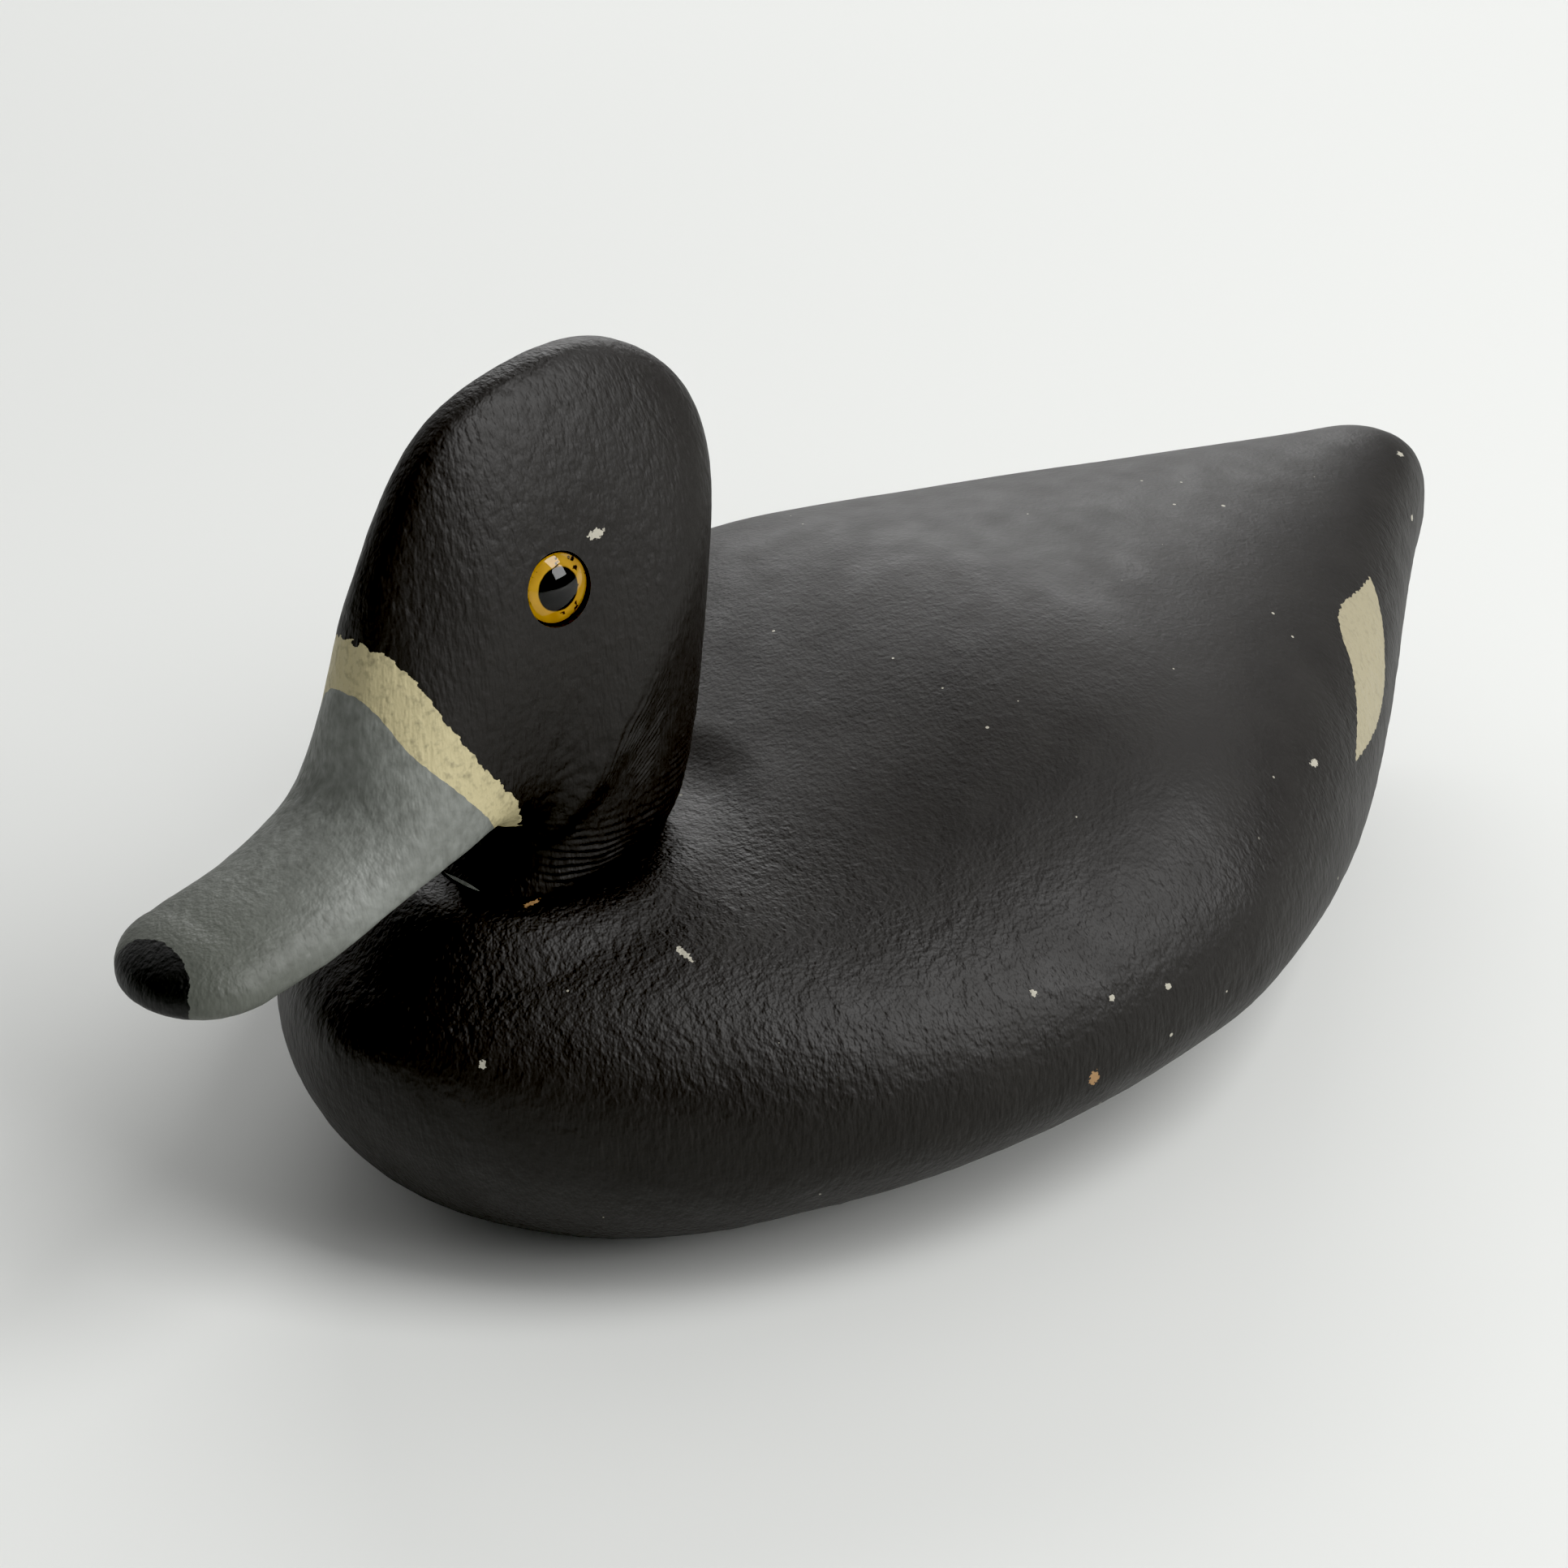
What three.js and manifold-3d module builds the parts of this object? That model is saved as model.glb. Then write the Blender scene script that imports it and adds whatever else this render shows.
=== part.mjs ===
// A carved and painted wooden duck decoy: one block body, one carved head with its bill,
// and two glass eyes let into bored sockets.
// Millimetres. The duck faces -Y, +X is its left side and +Z is up. The origin is on the
// planed underside, below the middle of the whole length from bill tip to tail tip.
import * as THREE from 'three';
import { mergeVertices } from 'three/addons/utils/BufferGeometryUtils.js';
import Module from 'manifold-3d';

const wasm = await Module();
wasm.setup();

// Body, lengths measured back from the front of the breast
const BREAST_Y = -131.5;
const BODY_LENGTH = 298;
const HALF_BREADTH = 84;
const WIDEST_AT = 128;
const BREAST_HEIGHT = 40.5;
const SHELF_AT = 58.5;
const SHELF_HEIGHT = 62.5;
const BACK_AT = 150;
const BACK_HEIGHT = 77;
const RUMP_HEIGHT = 62;
const CHIN_CURVE = 45.5;
const FLAT_ENDS_AT = 182;
const TAIL_LIFT = 30.5;
const TAIL_HALF_WIDTH = 6;
const TAIL_TIP_HEIGHT = 41.5;
const TAIL_ROUND_IN_PROFILE = 25;
const TAIL_ROUND_IN_PLAN = 15;
const PLANED_OFF = 3;

// How full the body is: powers of its plan, of its long lines and of its sections
const BREAST_FULLNESS = 1.68;
const TAIL_TAPER = 1.56;
const TAIL_FULLNESS = 0.77;
const BACK_FALL = 1.12;
const TAIL_RISE = 1.2;
const BACK_CROWN = 2.25;
const BILGE_ROUND = 1.9;
const WIDEST_LEVEL = 0.5;

// Neck seat: the head stands on a flat shelf, with a hairline joint
const SEAT_Z = 62;
const JOINT_GAP = 0.3;
const SEAT_MIDDLE_Y = -84;
const SEAT_HALF_LENGTH = 20.5;
const SEAT_HALF_WIDTH = 15;
const SEAT_FLAT_TO = 1.2;
const SEAT_FADES_AT = 1.95;

// Head: ribs fanned from the bill tip round the throat to the neck. Each runs from a bottom
// point to a top point on the centre line, [y, z], with its half width and the share of its
// height where it is widest.
const HEAD_RIBS = [
  { at: 'bill tip', bottom: [-166.5, 69], top: [-166.5, 69], half: 0, widest: 0.4 },
  { at: 'nail', bottom: [-154, 66], top: [-154.5, 76.5], half: 14.2, widest: 0.38 },
  { at: 'middle of the bill', bottom: [-141.5, 68], top: [-139.5, 80.5], half: 14.2, widest: 0.3 },
  { at: 'rear of the bill', bottom: [-127.5, 72.5], top: [-128.5, 87], half: 14.7, widest: 0.22 },
  { at: 'bill base', bottom: [-114.5, 75.5], top: [-125, 100], half: 15.2, widest: 0.18 },
  { at: 'forehead', bottom: [-105.5, 75.5], top: [-118.5, 120.5], half: 14.8, widest: 0.23 },
  { at: 'brow', bottom: [-102, 73], top: [-103, 140.5], half: 15.2, widest: 0.31 },
  { at: 'crown', bottom: [-100, 70.5], top: [-74.5, 145], half: 16.5, widest: 0.36 },
  { at: 'back of the crown', bottom: [-99.5, 68.5], top: [-55.5, 132.5], half: 19, widest: 0.45 },
  { at: 'nape', bottom: [-100, 66.5], top: [-54, 107.5], half: 17.6, widest: 0.45 },
  { at: 'neck', bottom: [-101.5, 64.5], top: [-59, 75], half: 16.7, widest: 0.44 },
  { at: 'seat', bottom: [-104.5, SEAT_Z], top: [-63.5, SEAT_Z], half: SEAT_HALF_WIDTH, widest: 0.4 },
];
const ROUND_SECTION = 2.2;
const BROW_SQUARENESS = 0.6;
const JAW_SQUARENESS = 0.8;
const CHEEK_TAPER = 0.47;
const TAPER_POWER = 1.3;
const TIP_DROP_POWER = 1.5;
const TIP_THICKNESS_POWER = 0.9;

// Glass eyes, let into sockets bored square to the cheeks
const EYE_PLACE = [14.3, -94, 114.3];
const EYE_TURNED_FORWARD = 6;
const EYE_TURNED_UP = 3;
const EYE_RADIUS = 5.5;
const EYE_DEPTH = 3;
const EYE_RIM_BELOW_CHEEK = 0.4;
const EYE_DOME = 2.4;

// How finely each piece is faceted
const BODY_STATIONS = 52;
const BODY_SIDES = 52;
const TIP_STEPS = 6;
const RIB_STEPS = 4;
const HEAD_SIDES = 36;
const EYE_SIDES = 28;
const DOME_STEPS = 5;

const paintedWood = (name) => new THREE.MeshStandardMaterial({
  name, color: 0x2a2725, roughness: 0.62, metalness: 0,
});
const amberGlass = (name) => new THREE.MeshStandardMaterial({
  name, color: 0xd9971a, roughness: 0.08, metalness: 0,
});

const clamp01 = (value) => Math.min(Math.max(value, 0), 1);
const mix = (from, to, share) => from + (to - from) * share;
const smooth = (share) => share * share * (3 - 2 * share);
const signedPower = (value, power) => Math.sign(value) * Math.abs(value) ** power;

// 1 along the body, falling to 0 as a quarter ellipse over the last stretch before the tail tip
const roundedOff = (back, stretch) => (
  Math.sqrt(1 - clamp01((back - BODY_LENGTH + stretch) / stretch) ** 2)
);

// Closes a row of rings, each a list of [x, y, z], with a point at both ends
function loft(rings, firstPoint, lastPoint) {
  const sides = rings[0].length;
  const points = [firstPoint, ...rings.flat(), lastPoint];
  const ringPoint = (ring, side) => 1 + ring * sides + (side % sides);
  const last = points.length - 1;
  const faces = [];
  for (let side = 0; side < sides; side += 1) {
    faces.push(0, ringPoint(0, side), ringPoint(0, side + 1));
    faces.push(last, ringPoint(rings.length - 1, side + 1), ringPoint(rings.length - 1, side));
    for (let ring = 0; ring < rings.length - 1; ring += 1) {
      const near = ringPoint(ring, side);
      const nearNext = ringPoint(ring, side + 1);
      const far = ringPoint(ring + 1, side);
      const farNext = ringPoint(ring + 1, side + 1);
      faces.push(near, far, nearNext, nearNext, far, farNext);
    }
  }
  const geometry = new THREE.BufferGeometry();
  geometry.setAttribute('position', new THREE.Float32BufferAttribute(points.flat(), 3));
  geometry.setIndex(faces);
  return geometry;
}

function toSolid(geometry) {
  const bare = geometry.clone();
  bare.deleteAttribute('normal');
  bare.deleteAttribute('uv');
  const merged = mergeVertices(bare);
  return new wasm.Manifold(new wasm.Mesh({
    numProp: 3,
    vertProperties: new Float32Array(merged.attributes.position.array),
    triVerts: new Uint32Array(merged.index.array),
  }));
}

function fromSolid(solid) {
  const { numProp, vertProperties, triVerts } = solid.getMesh();
  const corners = [];
  for (let start = 0; start < vertProperties.length; start += numProp) {
    corners.push(vertProperties[start], vertProperties[start + 1], vertProperties[start + 2]);
  }
  const geometry = new THREE.BufferGeometry();
  geometry.setAttribute('position', new THREE.Float32BufferAttribute(corners, 3));
  geometry.setIndex(Array.from(triVerts));
  geometry.computeVertexNormals();
  return geometry;
}

// Half breadth, top line and bottom line of the body at a distance back from the breast
function bodyLines(back) {
  const fore = clamp01(back / WIDEST_AT);
  const aft = clamp01((back - WIDEST_AT) / (BODY_LENGTH - WIDEST_AT));
  const breastSpread = (1 - (1 - fore) ** 2) ** (1 / BREAST_FULLNESS);
  const tailSpread = (1 - aft ** TAIL_TAPER) ** (1 / TAIL_FULLNESS);
  const half = breastSpread * mix(TAIL_HALF_WIDTH, HALF_BREADTH, tailSpread)
    * roundedOff(back, TAIL_ROUND_IN_PLAN);

  const overBreast = Math.sqrt(1 - (1 - clamp01(back / SHELF_AT)) ** 2);
  const shelfToBack = smooth(clamp01((back - SHELF_AT) / (BACK_AT - SHELF_AT)));
  const backToRump = clamp01((back - BACK_AT) / (BODY_LENGTH - BACK_AT)) ** BACK_FALL;
  const top = mix(BREAST_HEIGHT, SHELF_HEIGHT, overBreast)
    + (BACK_HEIGHT - SHELF_HEIGHT) * shelfToBack + (RUMP_HEIGHT - BACK_HEIGHT) * backToRump;

  const underBreast = 1 - Math.sqrt(1 - (1 - clamp01(back / CHIN_CURVE)) ** 2);
  const underTail = clamp01((back - FLAT_ENDS_AT) / (BODY_LENGTH - FLAT_ENDS_AT)) ** TAIL_RISE;
  const bottom = mix(-PLANED_OFF, BREAST_HEIGHT, underBreast)
    + (TAIL_LIFT + PLANED_OFF) * underTail;

  const deep = roundedOff(back, TAIL_ROUND_IN_PROFILE);
  return {
    half,
    top: mix(TAIL_TIP_HEIGHT, top, deep),
    bottom: mix(TAIL_TIP_HEIGHT, bottom, deep),
  };
}

// The top of the body is carved to a level shelf below the head
function levelledForSeat([x, y, z]) {
  const away = Math.hypot(x / SEAT_HALF_WIDTH, (y - SEAT_MIDDLE_Y) / SEAT_HALF_LENGTH);
  const levelled = 1 - smooth(clamp01((away - SEAT_FLAT_TO) / (SEAT_FADES_AT - SEAT_FLAT_TO)));
  return [x, y, mix(z, SEAT_Z - JOINT_GAP, levelled)];
}

function bodyRing(back) {
  const { half, top, bottom } = bodyLines(back);
  const widestZ = mix(bottom, top, WIDEST_LEVEL);
  const ring = [];
  for (let side = 0; side < BODY_SIDES; side += 1) {
    const angle = (side / BODY_SIDES) * Math.PI * 2;
    const above = Math.sin(angle) >= 0;
    const power = 2 / (above ? BACK_CROWN : BILGE_ROUND);
    const reach = Math.abs(Math.sin(angle)) ** power;
    const x = half * signedPower(Math.cos(angle), power);
    const point = [x, BREAST_Y + back, mix(widestZ, above ? top : bottom, reach)];
    ring.push(above ? levelledForSeat(point) : point);
  }
  return ring;
}

function makeBody() {
  const rings = [];
  for (let station = 1; station < BODY_STATIONS; station += 1) {
    const even = station / BODY_STATIONS;
    const crowdedAtEnds = (1 - Math.cos(even * Math.PI)) / 2;
    rings.push(bodyRing(BODY_LENGTH * mix(even, crowdedAtEnds, 0.7)));
  }
  const breast = [0, BREAST_Y, BREAST_HEIGHT];
  const tailTip = [0, BREAST_Y + BODY_LENGTH, TAIL_TIP_HEIGHT];
  const block = toSolid(loft(rings, breast, tailTip));
  const shavings = new THREE.BoxGeometry(4 * HALF_BREADTH, 2 * BODY_LENGTH, 4 * PLANED_OFF);
  shavings.translate(0, 0, -2 * PLANED_OFF);
  return fromSolid(block.subtract(toSolid(shavings)));
}

// A rib as one row of numbers, with the roundness of its section worked out from its place
function ribRow(rib, index) {
  const swell = Math.sin((Math.PI * index) / (HEAD_RIBS.length - 1));
  return [
    ...rib.bottom, ...rib.top, rib.half, rib.widest,
    ROUND_SECTION + BROW_SQUARENESS * swell,
    ROUND_SECTION + JAW_SQUARENESS * swell,
    CHEEK_TAPER * Math.max(swell, 0) ** TAPER_POWER,
  ];
}

// The bill ends in a quarter round ahead of the nail rib
function tipRow(tip, nail, share) {
  const across = Math.sin((share * Math.PI) / 2);
  const ahead = Math.cos((share * Math.PI) / 2);
  const thick = across ** TIP_THICKNESS_POWER;
  const [bottomY, bottomZ, topY, topZ, half, widest] = nail;
  const nailMiddle = mix(bottomZ, topZ, widest);
  const middle = mix(nailMiddle, tip[1], ahead ** TIP_DROP_POWER);
  return [
    mix(bottomY, tip[0], ahead), middle + (bottomZ - nailMiddle) * thick,
    mix(topY, tip[2], ahead), middle + (topZ - nailMiddle) * thick,
    half * across, widest, ...nail.slice(6),
  ];
}

// Smooth curve through four neighbouring ribs, between the middle two
function between(before, from, to, after, share) {
  return from.map((value, column) => {
    const slopeIn = (to[column] - before[column]) / 2;
    const slopeOut = (after[column] - value) / 2;
    const rise = to[column] - value;
    const square = 3 * rise - 2 * slopeIn - slopeOut;
    const cube = slopeIn + slopeOut - 2 * rise;
    return value + slopeIn * share + square * share ** 2 + cube * share ** 3;
  });
}

function headRows() {
  const ribs = HEAD_RIBS.map(ribRow);
  const beyond = (end, inner) => end.map((value, column) => 2 * value - inner[column]);
  const rows = [];
  for (let step = 1; step < TIP_STEPS; step += 1) {
    rows.push(tipRow(ribs[0], ribs[1], step / TIP_STEPS));
  }
  for (let index = 1; index < ribs.length - 1; index += 1) {
    const before = index > 1 ? ribs[index - 1] : beyond(ribs[1], ribs[2]);
    const after = ribs[index + 2] ?? beyond(ribs[index + 1], ribs[index]);
    for (let step = 0; step < RIB_STEPS; step += 1) {
      rows.push(between(before, ribs[index], ribs[index + 1], after, step / RIB_STEPS));
    }
  }
  rows.push(ribs[ribs.length - 1]);
  return rows;
}

function headRing([bottomY, bottomZ, topY, topZ, half, widest, brow, jaw, taper]) {
  const ring = [];
  for (let side = 0; side < HEAD_SIDES; side += 1) {
    const angle = (side / HEAD_SIDES) * Math.PI * 2;
    const above = Math.sin(angle) >= 0;
    const power = 2 / (above ? brow : jaw);
    const reach = Math.abs(Math.sin(angle)) ** power;
    const share = mix(widest, above ? 1 : 0, reach);
    const drawnIn = above ? 1 - taper * reach ** 2 : 1;
    const x = half * signedPower(Math.cos(angle), power) * drawnIn;
    ring.push([x, mix(bottomY, topY, share), mix(bottomZ, topZ, share)]);
  }
  return ring;
}

// Places a shape turned about Y, its open side along +Y, square to the cheek on one side
function toEyePlace(geometry, side) {
  const forward = THREE.MathUtils.degToRad(EYE_TURNED_FORWARD);
  const up = THREE.MathUtils.degToRad(EYE_TURNED_UP);
  const axis = new THREE.Vector3(
    side * Math.cos(forward) * Math.cos(up), -Math.sin(forward) * Math.cos(up), Math.sin(up),
  );
  const turn = new THREE.Quaternion().setFromUnitVectors(new THREE.Vector3(0, 1, 0), axis);
  geometry.applyQuaternion(turn);
  geometry.translate(side * EYE_PLACE[0], EYE_PLACE[1], EYE_PLACE[2]);
  return geometry;
}

function eyeSocket(side) {
  const floor = -EYE_DEPTH - JOINT_GAP;
  const mouth = 4 * EYE_DOME;
  const radius = EYE_RADIUS + JOINT_GAP;
  const bore = new THREE.CylinderGeometry(radius, radius, mouth - floor, EYE_SIDES);
  bore.translate(0, (mouth + floor) / 2, 0);
  return toSolid(toEyePlace(bore, side));
}

function makeHead() {
  const rings = headRows().map(headRing);
  const billTip = [0, ...HEAD_RIBS[0].bottom];
  const seatCentre = [0, SEAT_MIDDLE_Y, SEAT_Z];
  const carved = toSolid(loft(rings, billTip, seatCentre));
  return fromSolid(carved.subtract(eyeSocket(1)).subtract(eyeSocket(-1)));
}

// A glass eye: a flat-backed button with a domed front
function makeEye(side) {
  const profile = [
    new THREE.Vector2(0, -EYE_DEPTH),
    new THREE.Vector2(EYE_RADIUS, -EYE_DEPTH),
  ];
  for (let step = 0; step <= DOME_STEPS; step += 1) {
    const angle = (step / DOME_STEPS) * (Math.PI / 2);
    const radius = step === DOME_STEPS ? 0 : EYE_RADIUS * Math.cos(angle);
    profile.push(new THREE.Vector2(radius, EYE_DOME * Math.sin(angle) - EYE_RIM_BELOW_CHEEK));
  }
  const button = new THREE.LatheGeometry(profile, EYE_SIDES);
  return fromSolid(toSolid(toEyePlace(button, side)));
}

const decoy = new THREE.Group();

function add(name, geometry, material) {
  const mesh = new THREE.Mesh(geometry, material);
  mesh.name = name;
  decoy.add(mesh);
}

add('body', makeBody(), paintedWood('painted_body'));
add('head', makeHead(), paintedWood('painted_head'));
add('eye_left', makeEye(1), amberGlass('left_eye_glass'));
add('eye_right', makeEye(-1), amberGlass('right_eye_glass'));

export default decoy;
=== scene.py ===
"""A carved and painted wooden duck decoy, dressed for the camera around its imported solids."""
import math

import bmesh
import bpy
import numpy as np
from mathutils import Matrix, Vector


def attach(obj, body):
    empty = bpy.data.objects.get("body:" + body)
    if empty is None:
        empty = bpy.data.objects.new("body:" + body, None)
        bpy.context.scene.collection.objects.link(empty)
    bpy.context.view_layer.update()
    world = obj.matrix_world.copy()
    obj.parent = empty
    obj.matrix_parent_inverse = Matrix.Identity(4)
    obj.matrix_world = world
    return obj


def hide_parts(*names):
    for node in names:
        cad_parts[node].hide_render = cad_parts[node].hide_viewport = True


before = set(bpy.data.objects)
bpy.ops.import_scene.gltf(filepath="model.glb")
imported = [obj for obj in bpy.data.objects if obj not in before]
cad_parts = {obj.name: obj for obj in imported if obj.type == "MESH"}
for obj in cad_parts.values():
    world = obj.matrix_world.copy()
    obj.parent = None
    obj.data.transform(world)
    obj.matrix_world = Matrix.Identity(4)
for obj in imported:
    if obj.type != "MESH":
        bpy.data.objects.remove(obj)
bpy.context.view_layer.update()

scene = bpy.context.scene

# The camera
# A phone held in front of the left cheek, looking down at the decoy. Its place was found by
# fitting the carved outline to the photograph.
VIEW_AZIMUTH = math.radians(43.38)
VIEW_ELEVATION = math.radians(28.79)
VIEW_CENTRE = Vector((0, -0.0299, 0.05008))
VIEW_DISTANCE = 0.56594
LENS_LENGTH = 74.49
SENSOR_WIDTH = 36

toward_camera = Vector((
    math.sin(VIEW_AZIMUTH) * math.cos(VIEW_ELEVATION),
    -math.cos(VIEW_AZIMUTH) * math.cos(VIEW_ELEVATION),
    math.sin(VIEW_ELEVATION),
))
camera_data = bpy.data.cameras.new("camera")
camera_data.lens = LENS_LENGTH
camera_data.sensor_width = SENSOR_WIDTH
camera = bpy.data.objects.new("camera", camera_data)
camera.location = VIEW_CENTRE + toward_camera * VIEW_DISTANCE
camera.rotation_euler = (math.pi / 2 - VIEW_ELEVATION, 0, VIEW_AZIMUTH)
scene.collection.objects.link(camera)
scene.camera = camera

# The photograph's deep blacks: light below this level prints as plain black.
BLACK_LEVEL = 0.02
scene.view_settings.view_transform = "Standard"
scene.view_settings.use_curve_mapping = True
scene.view_settings.curve_mapping.black_level = (BLACK_LEVEL, BLACK_LEVEL, BLACK_LEVEL)

# The floor and the light
# A pale paper floor, lit by a window and a soft lamp over the right side and by a white wall
# behind. The room is dim on the camera's side, which leaves the breast and the forehead black.
FLOOR_HALF_SIZE = 3
FLOOR_COLOUR = (0.8, 0.81, 0.79)
ROOM_LIGHT = 0.25
WINDOW = {"towards": (0.85, 0.25, 0.5), "away": 1.5, "size": (0.8, 0.6), "brightness": 6}
LAMP = {"towards": (0.5, 0.2, 0.85), "away": 1.8, "size": (0.9, 0.9), "brightness": 6.6}
WALL = {"towards": (-0.6, 0.64, 0.42), "away": 2.2, "size": (1.4, 1), "brightness": 4}
FAR_WALL = {"towards": (0, 0.8, 0.6), "away": 2.1, "size": (1.4, 1), "brightness": 0.8}
LEFT_WALL = {"towards": (-0.9, -0.05, 0.45), "away": 2, "size": (1, 0.9), "brightness": 0.8}

floor_mesh = bpy.data.meshes.new("floor")
floor_mesh.from_pydata(
    [(x * FLOOR_HALF_SIZE, y * FLOOR_HALF_SIZE, 0) for x, y in ((-1, -1), (1, -1), (1, 1), (-1, 1))],
    [],
    [(0, 1, 2, 3)],
)
floor = bpy.data.objects.new("floor", floor_mesh)
scene.collection.objects.link(floor)
floor_paper = bpy.data.materials.new("floor_paper")
floor_paper.use_nodes = True
paper_shader = floor_paper.node_tree.nodes["Principled BSDF"]
paper_shader.inputs["Base Color"].default_value = (*FLOOR_COLOUR, 1)
paper_shader.inputs["Roughness"].default_value = 0.9
floor_mesh.materials.append(floor_paper)


def soft_light(name, towards, away, size, brightness):
    """A rectangular light of even brightness at a distance from the decoy, facing it."""
    data = bpy.data.lights.new(name, "AREA")
    data.shape = "RECTANGLE"
    data.size, data.size_y = size
    data.energy = math.pi * size[0] * size[1] * brightness
    light = bpy.data.objects.new(name, data)
    direction = Vector(towards).normalized()
    light.location = VIEW_CENTRE + direction * away
    light.rotation_euler = direction.to_track_quat("Z", "Y").to_euler()
    scene.collection.objects.link(light)


soft_light("window", **WINDOW)
soft_light("lamp", **LAMP)
soft_light("wall", **WALL)
soft_light("far_wall", **FAR_WALL)
soft_light("left_wall", **LEFT_WALL)
room = bpy.data.worlds.new("room")
room.use_nodes = True
room.node_tree.nodes["Background"].inputs["Color"].default_value = (1, 1, 1, 1)
room.node_tree.nodes["Background"].inputs["Strength"].default_value = ROOM_LIGHT
scene.world = room

# The body
# One block of wood, shaped with drawknife and rasp, with a shelf for the neck and a planed
# underside, painted brown-black with a brush. Sizes are in millimetres, back from the breast.
BREAST_Y = -131.5
BODY_LENGTH = 298
HALF_BREADTH = 84
WIDEST_AT = 128
BREAST_HEIGHT = 40.5
SHELF_AT = 58.5
SHELF_HEIGHT = 62.5
BACK_AT = 150
BACK_HEIGHT = 77
RUMP_HEIGHT = 62
CHIN_CURVE = 45.5
FLAT_ENDS_AT = 182
TAIL_LIFT = 30.5
TAIL_HALF_WIDTH = 6
TAIL_TIP_HEIGHT = 41.5
TAIL_ROUND_IN_PROFILE = 25
TAIL_ROUND_IN_PLAN = 15
PLANED_OFF = 3
BREAST_FULLNESS = 1.68
TAIL_TAPER = 1.56
TAIL_FULLNESS = 0.77
BACK_FALL = 1.12
TAIL_RISE = 1.2
BACK_CROWN = 2.25
BILGE_ROUND = 1.9
SEAT_Z = 62
SEAT_MIDDLE_Y = -84
SEAT_HALF_LENGTH = 20.5
SEAT_HALF_WIDTH = 15
SEAT_FLAT_TO = 1.2
SEAT_FADES_AT = 1.95
JOINT_GAP = 0.3
BODY_STATIONS = 300
BODY_SIDES = 320
MM = 0.001
WELD = 1e-5


class Rule:
    """A number worked out inside a node tree, so that a rule reads as plain arithmetic."""

    def __init__(self, tree, socket):
        self.tree = tree
        self.socket = socket

    def math(self, operation, *others):
        node = self.tree.nodes.new("ShaderNodeMath")
        node.operation = operation
        for place, value in enumerate((self, *others)):
            feed(self.tree, value, node.inputs[place])
        return Rule(self.tree, node.outputs[0])

    def __add__(self, other):
        return self.math("ADD", other)

    def __sub__(self, other):
        return self.math("SUBTRACT", other)

    def __mul__(self, other):
        return self.math("MULTIPLY", other)

    def __truediv__(self, other):
        return self.math("DIVIDE", other)

    def __pow__(self, other):
        return self.math("POWER", other)

    def __neg__(self):
        return self * -1

    def __rsub__(self, other):
        return -self + other

    __radd__ = __add__
    __rmul__ = __mul__


def feed(tree, value, socket):
    """Gives a node's input a rule, another node's output or a plain value."""
    if isinstance(value, Rule):
        tree.links.new(value.socket, socket)
    elif isinstance(value, bpy.types.NodeSocket):
        tree.links.new(value, socket)
    else:
        socket.default_value = value


def add_node(tree, kind, inputs=None, **settings):
    """A node of that kind, with its settings and the inputs that are named or numbered."""
    node = tree.nodes.new(kind)
    for setting, value in settings.items():
        setattr(node, setting, value)
    for place, value in (inputs or {}).items():
        feed(tree, value, node.inputs[place])
    return node


def xyz(tree, vector):
    """The three coordinates of a vector output."""
    parts = add_node(tree, "ShaderNodeSeparateXYZ", {0: vector})
    return [Rule(tree, output) for output in parts.outputs]


def point(tree, x, y, z):
    """A vector output from three coordinates."""
    return add_node(tree, "ShaderNodeCombineXYZ", {0: x, 1: y, 2: z}).outputs[0]


def clamp01(rule):
    return rule.math("MAXIMUM", 0).math("MINIMUM", 1)


def mix(start, end, share):
    return start + (end - start) * share


def smooth(share):
    return share * share * (3 - 2 * share)


def fade(rule, start, end):
    """0 before start, 1 after end, and a smooth change between; start may be the larger."""
    return smooth(clamp01((rule - start) / (end - start)))


def size(rule):
    return rule.math("ABSOLUTE")


def signed_power(rule, power):
    return size(rule) ** power * rule.math("SIGN")


def choose(chosen, when_true, when_false):
    return mix(when_false, when_true, chosen)


def noise(tree, place, seed, detail=2.0):
    """Smooth noise from -1 to 1, its lumps about one unit of the given coordinates wide."""
    node = add_node(
        tree, "ShaderNodeTexNoise",
        {"Vector": point(tree, *place), "W": seed, "Scale": 1.0, "Detail": detail},
        noise_dimensions="4D",
    )
    return Rule(tree, node.outputs[0]) * 2 - 1


def tree_inputs(tree, **defaults):
    """Named inputs of a geometry tree, each a rule, with whole numbers as integers."""
    for name, value in defaults.items():
        kind = "NodeSocketInt" if isinstance(value, int) else "NodeSocketFloat"
        socket = tree.interface.new_socket(name.replace("_", " "), in_out="INPUT", socket_type=kind)
        socket.default_value = value
    group = tree.nodes.new("NodeGroupInput")
    return {name: Rule(tree, group.outputs[name.replace("_", " ")]) for name in defaults}


def finish_tree(tree, geometry, material):
    """Ends a geometry tree with smooth shading, real geometry and its material."""
    smooth_faces = add_node(tree, "GeometryNodeSetShadeSmooth", {"Geometry": geometry})
    real = add_node(tree, "GeometryNodeRealizeInstances", {"Geometry": smooth_faces.outputs[0]})
    painted = add_node(
        tree, "GeometryNodeSetMaterial", {"Geometry": real.outputs[0], "Material": material}
    )
    tree.interface.new_socket("Geometry", in_out="OUTPUT", socket_type="NodeSocketGeometry")
    output = tree.nodes.new("NodeGroupOutput")
    tree.links.new(painted.outputs[0], output.inputs[0])


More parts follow.
